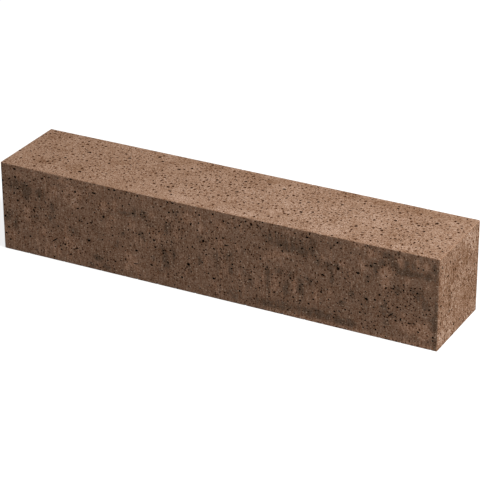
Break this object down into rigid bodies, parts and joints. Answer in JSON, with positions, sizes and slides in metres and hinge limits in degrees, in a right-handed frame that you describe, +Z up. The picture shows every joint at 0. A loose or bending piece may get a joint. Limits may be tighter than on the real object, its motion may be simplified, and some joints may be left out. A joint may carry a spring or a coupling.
{
  "type": "stacking block",
  "caption": "Solid rectangular block of pressed concrete with slightly rounded arrises, stacked dry or glued in courses for low garden walls, steps and edging.",
  "frame": {"origin": "middle of the bed face, which rests on the ground or on the course below", "axes": "+X along the block's length, +Y through its depth towards the back, +Z up from the bed face to the top face"},
  "size_m": [0.6, 0.12, 0.12],
  "materials": {
    "concrete": "matte"
  },
  "bodies": {
    "root": {"stacking_block": "concrete"}
  },
  "joints": []
}
